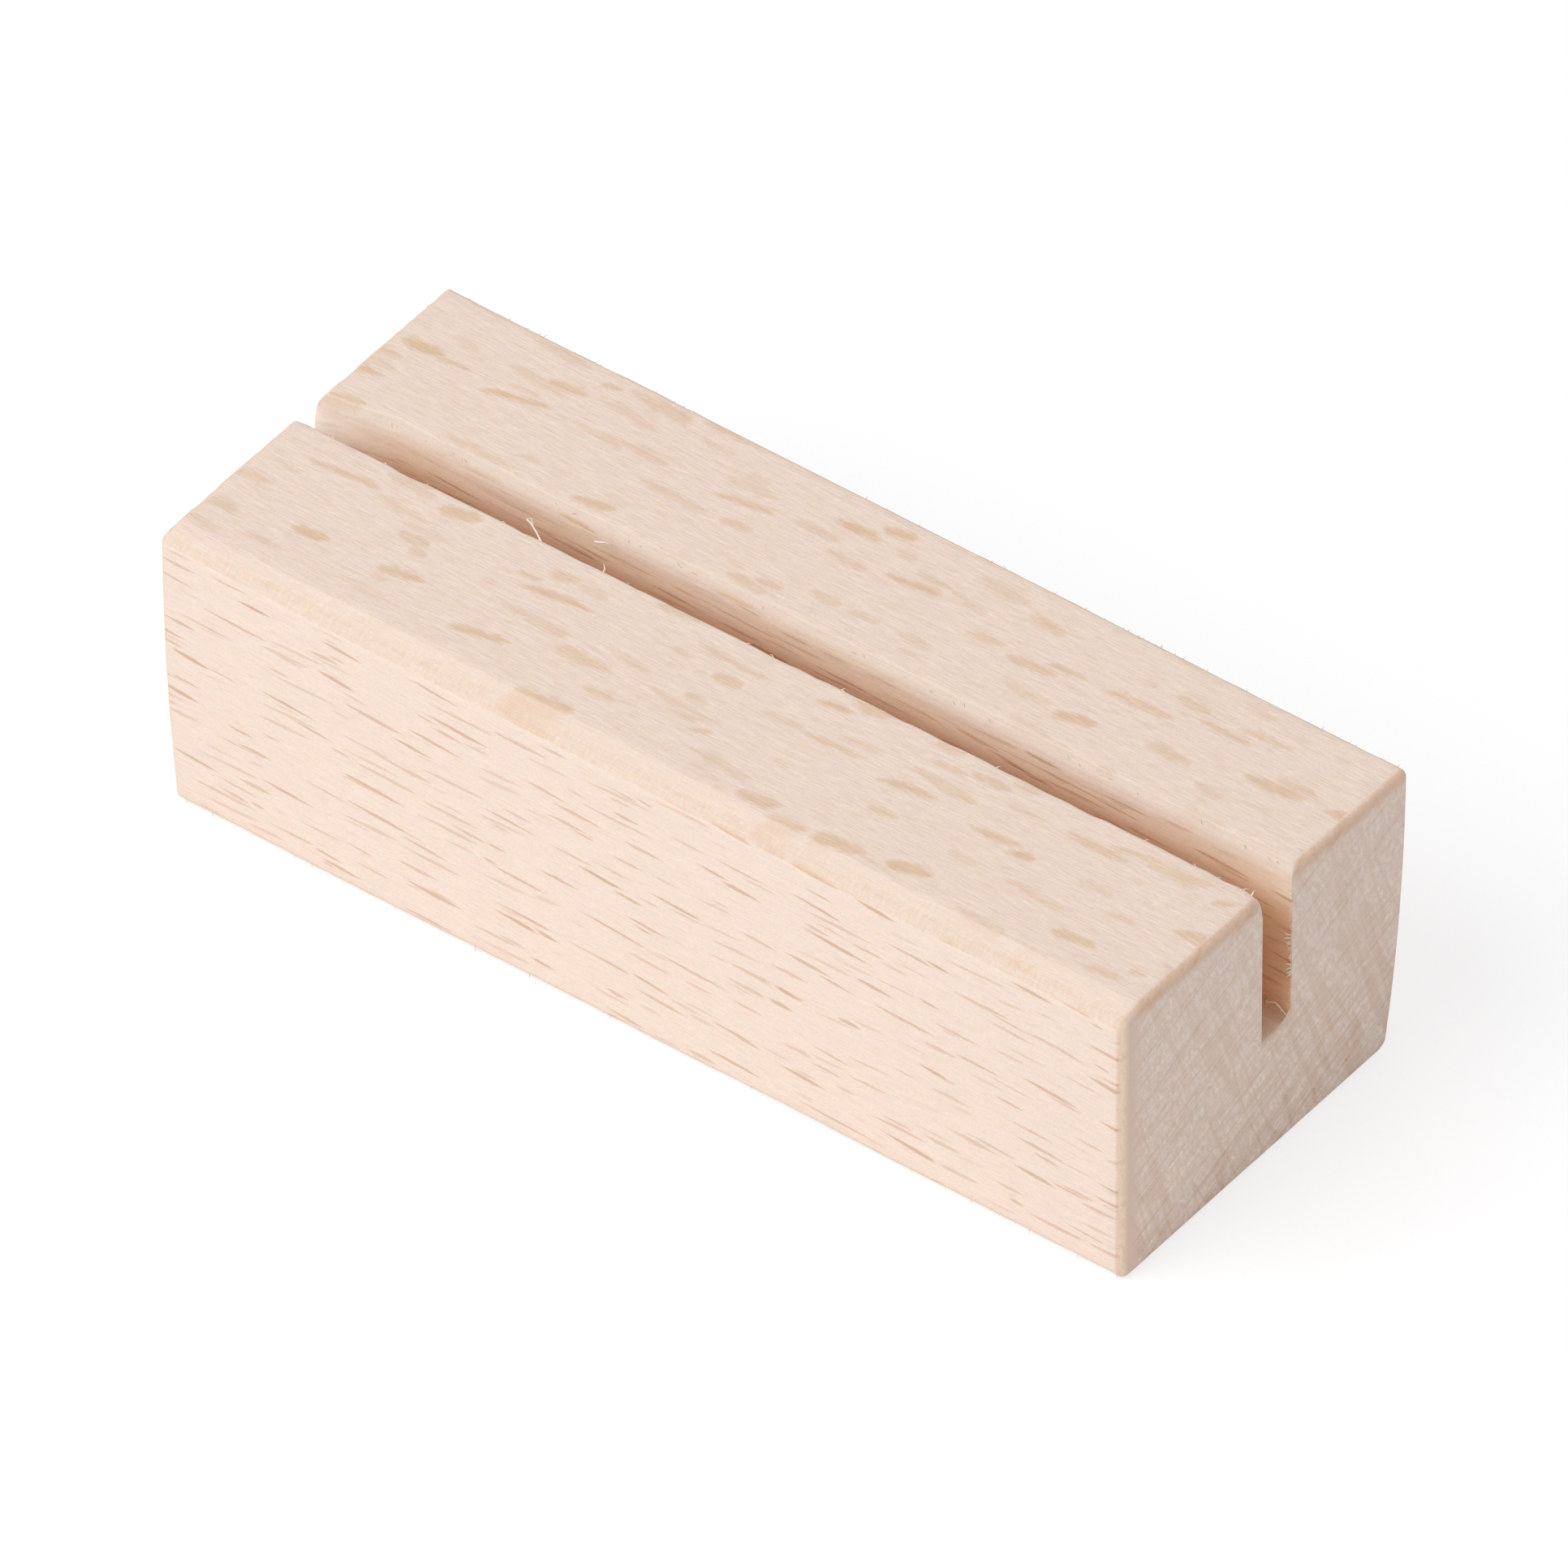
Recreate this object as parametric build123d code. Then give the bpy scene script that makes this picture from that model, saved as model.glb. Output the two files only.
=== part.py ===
"""Wooden photo block: one solid beech block that stands on its base and grips a photo or card
in a slot cut along its whole length.

Frame: +Z up, +X along the grain and the slot, front face towards -Y, origin on the
resting face below the middle of the block's box. Millimetres.
"""

import os

from build123d import *

# Block, cut to length from a planed strip of nominally 40 x 30
block_length = 101.0
block_width = 40.5
block_height = 29.3

# Freehand sanding: front and right end stay plumb, back and left end bow in towards the base
back_fall = 2.9
left_end_fall = 1.35

# Arrises, rounded along the strip by the moulder and at the ends by hand
top_arris_radius = 2.0
bottom_arris_radius = 1.1
end_arris_radius = 0.9

# Slot, square in section, with a crisp front side and a back side that is eased at lip and floor
slot_width = 4.1
slot_depth = 17.0
slot_behind_middle = 0.5
slot_front_lip_radius = 0.4
slot_back_lip_radius = 0.9
slot_front_floor_radius = 0.3
slot_back_floor_radius = 0.9

# Overlap that carries the slot cutter clear of the block's faces
cutter_overrun = 5.0


def falling_outline(plane, width, fall):
    """An upright face on a plane, its left side plumb, its right side bowing in by the fall at the base."""
    half_width = width / 2
    top_right = (half_width, block_height)
    base_right = (half_width - fall, 0)
    outline = Curve() + [
        TangentArc(top_right, base_right, tangent=(0, -1)),
        Polyline(base_right, (-half_width, 0), (-half_width, block_height), top_right),
    ]
    return plane * make_face(outline)


def sanded_blank():
    """The block before slotting: where the strip's section and the side view meet, arrises rounded."""
    strip_section = falling_outline(Plane.YZ, block_width, back_fall)
    seen_from_behind = Plane(origin=(0, 0, 0), x_dir=(-1, 0, 0), z_dir=(0, 1, 0))
    side_view = falling_outline(seen_from_behind, block_length, left_end_fall)
    strip = extrude(strip_section, amount=block_length / 2, both=True)
    blank = strip & extrude(side_view, amount=block_width / 2, both=True)
    blank = fillet(blank.edges().filter_by(Axis.X).group_by(Axis.Z)[-1], radius=top_arris_radius)
    blank = fillet(blank.edges().filter_by(Axis.X).group_by(Axis.Z)[0], radius=bottom_arris_radius)
    ends = blank.faces().sort_by(Axis.X)
    return fillet(ends[0].edges() + ends[-1].edges(), radius=end_arris_radius)


def slot_cutter():
    """The wood that the slot removes, with the easing of its lips and of its floor's corners."""
    front = -slot_width / 2
    back = slot_width / 2
    floor_z = block_height - slot_depth
    above_z = block_height + cutter_overrun
    front_lip_end = (front - slot_front_lip_radius, block_height)
    front_lip_start = (front, block_height - slot_front_lip_radius)
    back_lip_start = (back, block_height - slot_back_lip_radius)
    back_lip_end = (back + slot_back_lip_radius, block_height)
    walls_and_floor = FilletPolyline(
        front_lip_start,
        (front, floor_z),
        (back, floor_z),
        back_lip_start,
        radius=[slot_front_floor_radius, slot_back_floor_radius],
    )
    outline = Curve() + [
        walls_and_floor,
        RadiusArc(back_lip_start, back_lip_end, slot_back_lip_radius),
        Polyline(back_lip_end, (back_lip_end[0], above_z), (front_lip_end[0], above_z), front_lip_end),
        RadiusArc(front_lip_end, front_lip_start, slot_front_lip_radius),
    ]
    cutter_start = (-block_length / 2 - cutter_overrun, slot_behind_middle, 0)
    across = Plane(origin=cutter_start, x_dir=(0, 1, 0), z_dir=(1, 0, 0))
    return extrude(across * make_face(outline), amount=block_length + 2 * cutter_overrun)


slotted_block = sanded_blank() - slot_cutter()

os.makedirs("parts", exist_ok=True)
export_step(slotted_block, "parts/slotted_block.step")
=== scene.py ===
"""Looks for the wooden photo block: one slotted block of bare sanded beech on a white studio floor."""

import math
import random

import bpy
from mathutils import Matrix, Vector, noise


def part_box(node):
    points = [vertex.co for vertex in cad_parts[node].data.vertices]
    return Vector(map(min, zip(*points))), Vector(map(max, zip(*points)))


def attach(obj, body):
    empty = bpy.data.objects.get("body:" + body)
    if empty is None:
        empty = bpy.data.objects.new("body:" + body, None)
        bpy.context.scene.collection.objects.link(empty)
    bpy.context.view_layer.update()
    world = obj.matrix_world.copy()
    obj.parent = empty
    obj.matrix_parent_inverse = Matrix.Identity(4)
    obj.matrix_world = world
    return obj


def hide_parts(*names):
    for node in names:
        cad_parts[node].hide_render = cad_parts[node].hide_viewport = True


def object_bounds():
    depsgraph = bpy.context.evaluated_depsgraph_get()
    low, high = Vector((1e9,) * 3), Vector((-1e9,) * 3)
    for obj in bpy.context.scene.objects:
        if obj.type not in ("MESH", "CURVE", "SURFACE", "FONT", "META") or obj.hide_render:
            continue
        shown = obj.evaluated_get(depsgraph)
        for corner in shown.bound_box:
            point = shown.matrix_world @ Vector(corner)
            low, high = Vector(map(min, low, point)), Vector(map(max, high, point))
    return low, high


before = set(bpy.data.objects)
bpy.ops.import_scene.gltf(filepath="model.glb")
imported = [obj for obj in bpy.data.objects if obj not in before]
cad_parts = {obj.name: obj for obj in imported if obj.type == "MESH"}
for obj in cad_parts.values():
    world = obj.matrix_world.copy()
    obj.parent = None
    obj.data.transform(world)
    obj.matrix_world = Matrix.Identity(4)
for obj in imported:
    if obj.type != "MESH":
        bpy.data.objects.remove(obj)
cad_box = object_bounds()


# Slotted block
# A length of solid beech strip, planed on four sides, cut to 101 mm and slotted along its top with
# a groove cutter. The moulder eased the long arrises and a sander the ends, so no two are quite alike.

MM = 0.001
block_low, block_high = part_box("slotted_block")
half_length = block_high.x
block_height = block_high.z

slot_front_y = -1.22 * MM
slot_back_y = 2.75 * MM
slot_middle_y = (slot_front_y + slot_back_y) / 2
slot_width = slot_back_y - slot_front_y
slot_floor_z = 12.7 * MM

bpy.ops.object.select_all(action="DESELECT")
bpy.ops.mesh.primitive_cube_add(
    size=1, location=(block_low + block_high) / 2, scale=block_high - block_low
)
block = bpy.context.object
block.name = "beech_block"
bpy.ops.object.transform_apply(location=True, rotation=True, scale=True)

# The slot is cut right through both ends and the top
cutter_overrun = 5 * MM
cutter_height = block_height - slot_floor_z + cutter_overrun
bpy.ops.mesh.primitive_cube_add(
    size=2,
    location=(0, slot_middle_y, slot_floor_z + cutter_height / 2),
    scale=(half_length + cutter_overrun, slot_width / 2, cutter_height / 2),
)
slot_cutter = bpy.context.object
bpy.ops.object.select_all(action="DESELECT")
bpy.context.view_layer.objects.active = block
block.select_set(True)
slotting = block.modifiers.new("slotting", "BOOLEAN")
slotting.object = slot_cutter
slotting.solver = "EXACT"
bpy.ops.object.modifier_apply(modifier=slotting.name)
bpy.data.objects.remove(slot_cutter)

# Each arris has its own radius: crisp round the left end and up the corners, slack where hands rub
front_arris = 0.7 * MM
back_arris = 0.7 * MM
bottom_arris = 1.1 * MM
end_arris = 0.4 * MM
rubbed_arris = 0.75 * MM
slot_front_lip = 0.4 * MM
slot_back_lip = 1.1 * MM
slot_floor_front = 0.3 * MM
slot_floor_back = 1.5 * MM
slot_floor_end = 0.4 * MM
slot_end_edge = 0.1 * MM
largest_arris = slot_floor_back
tiny = 0.01 * MM


def arris_radius(middle):
    """The rounding of the edge whose middle is at this point of the square-cut block."""
    at_end = abs(abs(middle.x) - half_length) < tiny
    in_slot = slot_front_y - tiny < middle.y < slot_back_y + tiny
    at_top = middle.z > block_height - tiny
    if at_end and in_slot:
        return slot_floor_end if middle.z < slot_floor_z + tiny else slot_end_edge
    if at_end:
        rubbed = middle.x > 0 and (at_top or middle.y < slot_front_y)
        return rubbed_arris if rubbed else end_arris
    if in_slot:
        near_front = middle.y < slot_middle_y
        if at_top:
            return slot_front_lip if near_front else slot_back_lip
        return slot_floor_front if near_front else slot_floor_back
    if at_top:
        return front_arris if middle.y < 0 else back_arris
    return bottom_arris


weights = block.data.attributes.new("bevel_weight_edge", "FLOAT", "EDGE")
for edge in block.data.edges:
    ends = [block.data.vertices[i].co for i in edge.vertices]
    weights.data[edge.index].value = arris_radius((ends[0] + ends[1]) / 2) / largest_arris
easing = block.modifiers.new("easing", "BEVEL")
easing.limit_method = "WEIGHT"
easing.width = largest_arris
easing.segments = 6
easing.use_clamp_overlap = False
bpy.ops.object.modifier_apply(modifier=easing.name)

# The faces are cut into a fine net so that hand sanding can move them, with two lines close together
# where the front facet starts
net_step = 0.9 * MM
station_step = 0.42 * MM
facet_width = 2.5 * MM
facet_blend = 0.15 * MM
bpy.ops.object.mode_set(mode="EDIT")
for inset in (facet_width - facet_blend, facet_width + facet_blend):
    bpy.ops.mesh.select_all(action="SELECT")
    bpy.ops.mesh.bisect(plane_co=(0, block_low.y + inset, 0), plane_no=(0, 1, 0))
for direction, half_span in (((0, 1, 0), -block_low.y), ((0, 0, 1), block_height)):
    cut_at = -half_span + net_step / 2
    while cut_at < half_span:
        bpy.ops.mesh.select_all(action="SELECT")
        bpy.ops.mesh.bisect(plane_co=Vector(direction) * cut_at, plane_no=direction)
        cut_at += net_step
bpy.ops.mesh.select_mode(type="EDGE")
bpy.ops.mesh.select_all(action="DESELECT")
bpy.ops.object.mode_set(mode="OBJECT")
for edge in block.data.edges:
    ends = [block.data.vertices[i].co for i in edge.vertices]
    edge.select = abs(ends[0].x - ends[1].x) > half_length
bpy.ops.object.mode_set(mode="EDIT")
bpy.ops.mesh.subdivide(number_cuts=round(2 * half_length / station_step))
bpy.ops.object.mode_set(mode="OBJECT")

# Freehand sanding bows the back and the left end in towards the base and takes the back in at its
# right end. A slanting facet runs along the front, shallower towards the left. The slot runs a
# little askew, and a burr that the cutter left leans out of its back wall at the left end.
left_end_cut = 0.32 * MM
left_end_fall = 1.36 * MM
back_cut = 0.7 * MM
back_right_cut = 0.25 * MM
back_fall = 2.65 * MM
fall_curve = 2.2
facet_drop = 0.65 * MM
facet_left_share = 0.5
facet_left_length = 35 * MM
facet_slide = 6 * MM
slot_skew = 0.43 * MM
burr_depth = 1.15 * MM
burr_lean = 0.4 * MM
burr_lean_height = 3 * MM
burr_length = 9 * MM
burr_root = 8 * MM
burr_curve = 1.5

for vertex in block.data.vertices:
    x, y, z = vertex.co
    towards_left = (block_high.x - x) / (block_high.x - block_low.x)
    towards_back = max(0, (y - slot_back_y) / (block_high.y - slot_back_y))
    if y < slot_middle_y:
        from_face = (y - block_low.y) / (slot_front_y - block_low.y)
    else:
        from_face = (block_high.y - y) / (block_high.y - slot_back_y)
    fall = (1 - z / block_height) ** fall_curve
    from_centre = x / half_length
    vertex.co.x += (left_end_cut + left_end_fall * fall) * towards_left
    vertex.co.y += slot_skew * from_centre * min(1, from_face)
    back_taken = back_cut + back_right_cut * max(0, from_centre) + back_fall * fall
    vertex.co.y -= back_taken * towards_back
    outwards = max(0, 1 - (y - block_low.y) / facet_width)
    slide = max(0, 1 - (block_height - z) / facet_slide)
    facet_depth = facet_drop * min(1, facet_left_share + (x - block_low.x) / facet_left_length)
    vertex.co.z -= facet_depth * outwards * slide
    across_slot = min(1, max(0, (y - slot_front_y) / slot_width))
    into_bar = max(0, 1 - max(0, y - slot_back_y) / burr_root)
    near_left = max(0, 1 - (x - block_low.x) / burr_length)
    leaning_out = burr_lean * min(1, (block_height - z) / burr_lean_height)
    vertex.co.y -= (burr_depth + leaning_out) * near_left**burr_curve * across_slot * into_bar

# Sanding and handling wear the arrises unevenly, the cutter left the slot's back lip chipped and its
# front lip nicked, and the saw frayed the left end
mean_wear = 0.12 * MM
slow_wear = 0.12 * MM
slow_wear_length = 14 * MM
quick_wear = 0.06 * MM
quick_wear_length = 1.7 * MM
slot_wear_share = 0.2
end_wear_share = 0.45
end_wear_reach = 1.0 * MM
lip_corner_reach = 1.7 * MM
lip_corner_depth = 0.45 * MM
chip_length = 2.4 * MM
chip_threshold = 0.1
splinter_length = 1.1 * MM
splinter_share = 0.7
splinter_row = (0.5, 0.5)
chip_reach = 1.3 * MM
chip_depth = 0.6 * MM
nick_length = 1.5 * MM
nick_reach = 0.6 * MM
nick_depth = 0.35 * MM
nick_row = (7.5, 0.5)
frayed_reach = 1.5 * MM
frayed_length = 1.3 * MM
frayed_mean = 0.02 * MM
frayed_depth = 0.3 * MM


def wear(place, normal):
    """How deep the surface is worn at a point: nothing on the flats, most on the arrises."""
    square = [n * n for n in normal]
    on_arris = 4 * (square[0] * square[1] + square[1] * square[2] + square[2] * square[0])
    slow = noise.noise(place / slow_wear_length)
    quick = noise.noise(place / quick_wear_length)
    skewed_y = place.y - slot_skew * place.x / half_length
    in_slot = abs(skewed_y - slot_middle_y) < slot_width / 2 + slot_back_lip
    from_end = half_length - abs(place.x)
    share = end_wear_share if from_end < end_wear_reach else 1
    share = slot_wear_share if in_slot else share
    depth = on_arris * share * max(0, mean_wear + slow_wear * slow + quick_wear * quick)

    below_top = max(0, 1 - (block_height - place.z) / chip_reach)
    at_lip = max(0, 1 - abs(skewed_y - slot_back_y) / chip_reach) * below_top
    chip = noise.noise(Vector((place.x, 0, 0)) / chip_length)
    splinter = noise.noise(Vector((place.x / splinter_length, *splinter_row)))
    depth += at_lip * max(0, chip + splinter_share * splinter - chip_threshold) * chip_depth
    to_front_lip = max(abs(skewed_y - slot_front_y), block_height - place.z)
    nick = noise.noise(Vector((place.x / nick_length, *nick_row)))
    depth += max(0, 1 - to_front_lip / nick_reach) * max(0, nick) * nick_depth

    to_lip = math.hypot(max(0, slot_front_y - skewed_y), block_height - place.z)
    from_right = half_length - place.x
    lip_corner = max(0, 1 - from_right / lip_corner_reach) * max(0, 1 - to_lip / lip_corner_reach)
    depth += lip_corner * lip_corner_depth if skewed_y < slot_middle_y else 0

    at_left = max(0, 1 - (place.x - block_low.x) / frayed_reach) * below_top
    fray = noise.noise(Vector((0, place.y, place.z)) / frayed_length)
    return depth + at_left * max(0, frayed_mean + frayed_depth * fray)


block.data.update()
worn_away = [v.normal * wear(v.co, v.normal) for v in block.data.vertices]
for vertex, loss in zip(block.data.vertices, worn_away):
    vertex.co -= loss

# Where several arrises meet, the smallest faces can fold over one another, so those corners are
# smoothed
folded_beyond = math.cos(math.radians(65))
smoothing_rounds = 12
bpy.ops.object.mode_set(mode="EDIT")
bpy.ops.mesh.select_mode(type="VERT")
for _ in range(smoothing_rounds):
    bpy.ops.mesh.select_all(action="DESELECT")
    bpy.ops.object.mode_set(mode="OBJECT")
    beside = {}
    for polygon in block.data.polygons:
        for edge_key in polygon.edge_keys:
            beside.setdefault(edge_key, []).append(polygon.normal.copy())
    for edge_key, (one_side, other_side) in beside.items():
        if one_side.dot(other_side) < folded_beyond:
            for i in edge_key:
                block.data.vertices[i].select = True
    bpy.ops.object.mode_set(mode="EDIT")
    bpy.ops.mesh.vertices_smooth(factor=0.5, repeat=2)
bpy.ops.object.mode_set(mode="OBJECT")
bpy.ops.object.shade_smooth_by_angle(angle=math.radians(40))


# The finish is bare European beech off the sander: pale cream, dull, with thin dark ray spindles on the
# front and soft tan ray flecks on the top, because the rays run back and a little upwards
def linear(hex_colour):
    """The linear colour of an sRGB hex value."""
    channels = [int(hex_colour[i : i + 2], 16) / 255 for i in (1, 3, 5)]
    return [c / 12.92 if c <= 0.04045 else ((c + 0.055) / 1.055) ** 2.4 for c in channels] + [1]


def add(tree, kind, inputs=None, **settings):
    """Add one node with its settings; an input given as another node's socket is linked to it.

    Map Range takes the value at 0, its old limits at 1 and 2 and its new ones at 3 and 4. Mix takes its
    share at 0, numbers at 2 and 3 and colours at 6 and 7.
    """
    made = tree.nodes.new(kind)
    for name, value in settings.items():
        setattr(made, name, value)
    for name, value in (inputs or {}).items():
        if isinstance(value, bpy.types.NodeSocket):
            tree.links.new(value, made.inputs[name])
        else:
            made.inputs[name].default_value = value
    return made


beech = bpy.data.materials.new("sanded_beech")
beech.use_nodes = True
wood = beech.node_tree
shader = wood.nodes["Principled BSDF"]

# Grain axes in mm: X along the fibres, which dip a little to the right, Y out along the rays, which
# rise towards the back, Z square to both. Most patterns below are sized in mm along these axes.
ray_rise = math.radians(21)
fibre_dip = math.radians(1.0)
coords = add(wood, "ShaderNodeTexCoord")
grain = add(
    wood,
    "ShaderNodeMapping",
    {
        "Vector": coords.outputs["Object"],
        "Rotation": (-ray_rise, -fibre_dip, 0),
        "Scale": (1 / MM,) * 3,
    },
)
along_across = add(wood, "ShaderNodeSeparateXYZ", {0: grain.outputs[0]})
cell_size = (1 / 0.9, 1 / 0.3, 1 / 0.16)
cells_at = add(wood, "ShaderNodeVectorMath", {0: grain.outputs[0], 1: cell_size}, operation="MULTIPLY")
cells = add(wood, "ShaderNodeTexNoise", {"Vector": cells_at.outputs[0], "Scale": 1.0, "Detail": 2.0})

# How far the surface faces each way tells flats, ends and arrises apart
facing = add(wood, "ShaderNodeSeparateXYZ", {0: coords.outputs["Normal"]})
end_square, side_square, top_square = [
    add(wood, "ShaderNodeMath", {0: way, 1: way}, operation="MULTIPLY").outputs[0]
    for way in facing.outputs
]
end_raggedness = 0.9
end_ragged = add(
    wood,
    "ShaderNodeMath",
    {0: cells.outputs[0], 1: end_raggedness, 2: end_square},
    operation="MULTIPLY_ADD",
)
on_end = add(
    wood,
    "ShaderNodeMapRange",
    {0: end_ragged.outputs[0], 1: 0.75, 2: 1.2},
    interpolation_type="SMOOTHSTEP",
)
on_top = add(
    wood, "ShaderNodeMapRange", {0: top_square, 1: 0.955, 2: 0.985}, interpolation_type="SMOOTHSTEP"
)
lying = add(
    wood, "ShaderNodeMapRange", {0: top_square, 1: 0.0, 2: 0.2}, interpolation_type="SMOOTHSTEP"
)
rounded = add(wood, "ShaderNodeMath", {0: side_square, 1: top_square}, operation="MULTIPLY")
long_arris = add(
    wood,
    "ShaderNodeMapRange",
    {0: rounded.outputs[0], 1: 0.015, 2: 0.12},
    interpolation_type="SMOOTHSTEP",
)

# The moulder's cutter left a fine hatch across the long arrises
hatch_size = (1 / (0.3 * MM), 1 / (1.1 * MM), 1 / (1.1 * MM))
hatch_at = add(
    wood, "ShaderNodeVectorMath", {0: coords.outputs["Object"], 1: hatch_size}, operation="MULTIPLY"
)
hatch = add(wood, "ShaderNodeTexNoise", {"Vector": hatch_at.outputs[0], "Scale": 1.0, "Detail": 3.0})

# The fibres wander slowly, their edges are ragged at the width of a few cells, and the hatch combs them
wander_size = (1 / 30, 1 / 14, 1 / 14)
wander_at = add(
    wood, "ShaderNodeVectorMath", {0: grain.outputs[0], 1: wander_size}, operation="MULTIPLY"
)
wander = add(wood, "ShaderNodeTexNoise", {"Vector": wander_at.outputs[0], "Scale": 1.0, "Detail": 2.0})
wander_mm = 1.4
waved = add(
    wood,
    "ShaderNodeMath",
    {0: wander.outputs[0], 1: wander_mm, 2: along_across.outputs["Z"]},
    operation="MULTIPLY_ADD",
)
ragged_mm = add(wood, "ShaderNodeMapRange", {0: on_top.outputs[0], 3: 0.16, 4: 0.34})
ragged = add(
    wood,
    "ShaderNodeMath",
    {0: cells.outputs[0], 1: ragged_mm.outputs[0], 2: waved.outputs[0]},
    operation="MULTIPLY_ADD",
)
comb_mm = add(wood, "ShaderNodeMapRange", {0: long_arris.outputs[0], 3: 0.0, 4: 0.16})
combed = add(
    wood,
    "ShaderNodeMath",
    {0: hatch.outputs[0], 1: comb_mm.outputs[0], 2: ragged.outputs[0]},
    operation="MULTIPLY_ADD",
)
sheet = add(wood, "ShaderNodeCombineXYZ", {"X": along_across.outputs["X"], "Y": combed.outputs[0]})

# Rays are thin upright lenses stacked along the grain and reaching far back: bold ones, fainter ones
# and specks, with their sizes in mm. Cut across, as on the front, they are crisp and pointed; cut
# nearly flat, as on the top, they are broad flecks with blunt, blurred ends.
ray_blur_mm = add(wood, "ShaderNodeMapRange", {0: lying.outputs[0], 3: 0.075, 4: 0.13})
ray_bluntness = add(wood, "ShaderNodeMapRange", {0: lying.outputs[0], 3: 2.0, 4: 4.0})
ray_swell_mm = add(wood, "ShaderNodeMapRange", {0: on_top.outputs[0], 3: 0.0, 4: 0.03})
ray_lean = 0.05
ray_layers = (
    {
        "cell": (8.0, 1.9),
        "shift": (0.3, 0.7, 0),
        "half_length": (1.2, 3.9),
        "half_thickness": (0.11, 0.21),
        "darkness": (0.4, 1.0),
    },
    {
        "cell": (8.0, 2.2),
        "shift": (4.1, 2.6, 0),
        "half_length": (0.7, 2.5),
        "half_thickness": (0.07, 0.16),
        "darkness": (0.25, 0.8),
    },
    {
        "cell": (2.6, 0.9),
        "shift": (8.2, 5.4, 0),
        "half_length": (0.25, 0.9),
        "half_thickness": (0.03, 0.09),
        "darkness": (0.0, 0.25),
    },
)
ray_shade = None
for layer in ray_layers:
    cell_length, cell_height = layer["cell"]
    spot = add(
        wood,
        "ShaderNodeVectorMath",
        {0: sheet.outputs[0], 1: (1 / cell_length, 1 / cell_height, 0), 2: layer["shift"]},
        operation="MULTIPLY_ADD",
    )
    ray = add(
        wood, "ShaderNodeTexVoronoi", {"Vector": spot.outputs[0], "Scale": 1.0}, voronoi_dimensions="2D"
    )
    off = add(
        wood,
        "ShaderNodeVectorMath",
        {0: spot.outputs[0], 1: ray.outputs["Position"]},
        operation="SUBTRACT",
    )
    off_mm = add(
        wood,
        "ShaderNodeVectorMath",
        {0: off.outputs[0], 1: (cell_length, cell_height, 0)},
        operation="MULTIPLY",
    )
    offset = add(wood, "ShaderNodeSeparateXYZ", {0: off_mm.outputs[0]})
    draws = add(wood, "ShaderNodeSeparateColor", {0: ray.outputs["Color"]})
    half_length_mm, half_thickness_mm, darkness = [
        add(wood, "ShaderNodeMapRange", {0: draw, 3: layer[name][0], 4: layer[name][1]}).outputs[0]
        for draw, name in zip(draws.outputs, ("half_length", "half_thickness", "darkness"))
    ]
    own_lean = add(wood, "ShaderNodeMapRange", {0: draws.outputs[2], 3: -ray_lean, 4: ray_lean})
    leaning = add(
        wood,
        "ShaderNodeMath",
        {0: offset.outputs["X"], 1: own_lean.outputs[0], 2: offset.outputs["Y"]},
        operation="MULTIPLY_ADD",
    )
    off_axis = add(wood, "ShaderNodeMath", {0: leaning.outputs[0]}, operation="ABSOLUTE")
    off_centre = add(wood, "ShaderNodeMath", {0: offset.outputs["X"]}, operation="ABSOLUTE")
    length_share = add(
        wood, "ShaderNodeMath", {0: off_centre.outputs[0], 1: half_length_mm}, operation="DIVIDE"
    )
    narrowing = add(
        wood,
        "ShaderNodeMath",
        {0: length_share.outputs[0], 1: ray_bluntness.outputs[0]},
        operation="POWER",
    )
    taper = add(wood, "ShaderNodeMath", {0: 1.0, 1: narrowing.outputs[0]}, operation="SUBTRACT")
    lens_edge = add(
        wood,
        "ShaderNodeMath",
        {0: taper.outputs[0], 1: half_thickness_mm, 2: ray_swell_mm.outputs[0]},
        operation="MULTIPLY_ADD",
    )
    inside = add(
        wood, "ShaderNodeMath", {0: lens_edge.outputs[0], 1: off_axis.outputs[0]}, operation="SUBTRACT"
    )
    blur_steps = add(
        wood, "ShaderNodeMath", {0: inside.outputs[0], 1: ray_blur_mm.outputs[0]}, operation="DIVIDE"
    )
    lens = add(
        wood,
        "ShaderNodeMapRange",
        {0: blur_steps.outputs[0], 1: -1.0, 2: 1.0},
        interpolation_type="SMOOTHSTEP",
    )
    rim = add(
        wood,
        "ShaderNodeTexVoronoi",
        {"Vector": spot.outputs[0], "Scale": 1.0},
        voronoi_dimensions="2D",
        feature="DISTANCE_TO_EDGE",
    )
    clear_of_rim = add(
        wood, "ShaderNodeMapRange", {0: rim.outputs["Distance"], 1: 0.0, 2: 0.1, 4: darkness}
    )
    shade = add(
        wood, "ShaderNodeMath", {0: lens.outputs[0], 1: clear_of_rim.outputs[0]}, operation="MULTIPLY"
    )
    if ray_shade:
        shade = add(
            wood, "ShaderNodeMath", {0: shade.outputs[0], 1: ray_shade.outputs[0]}, operation="MAXIMUM"
        )
    ray_shade = shade

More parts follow.
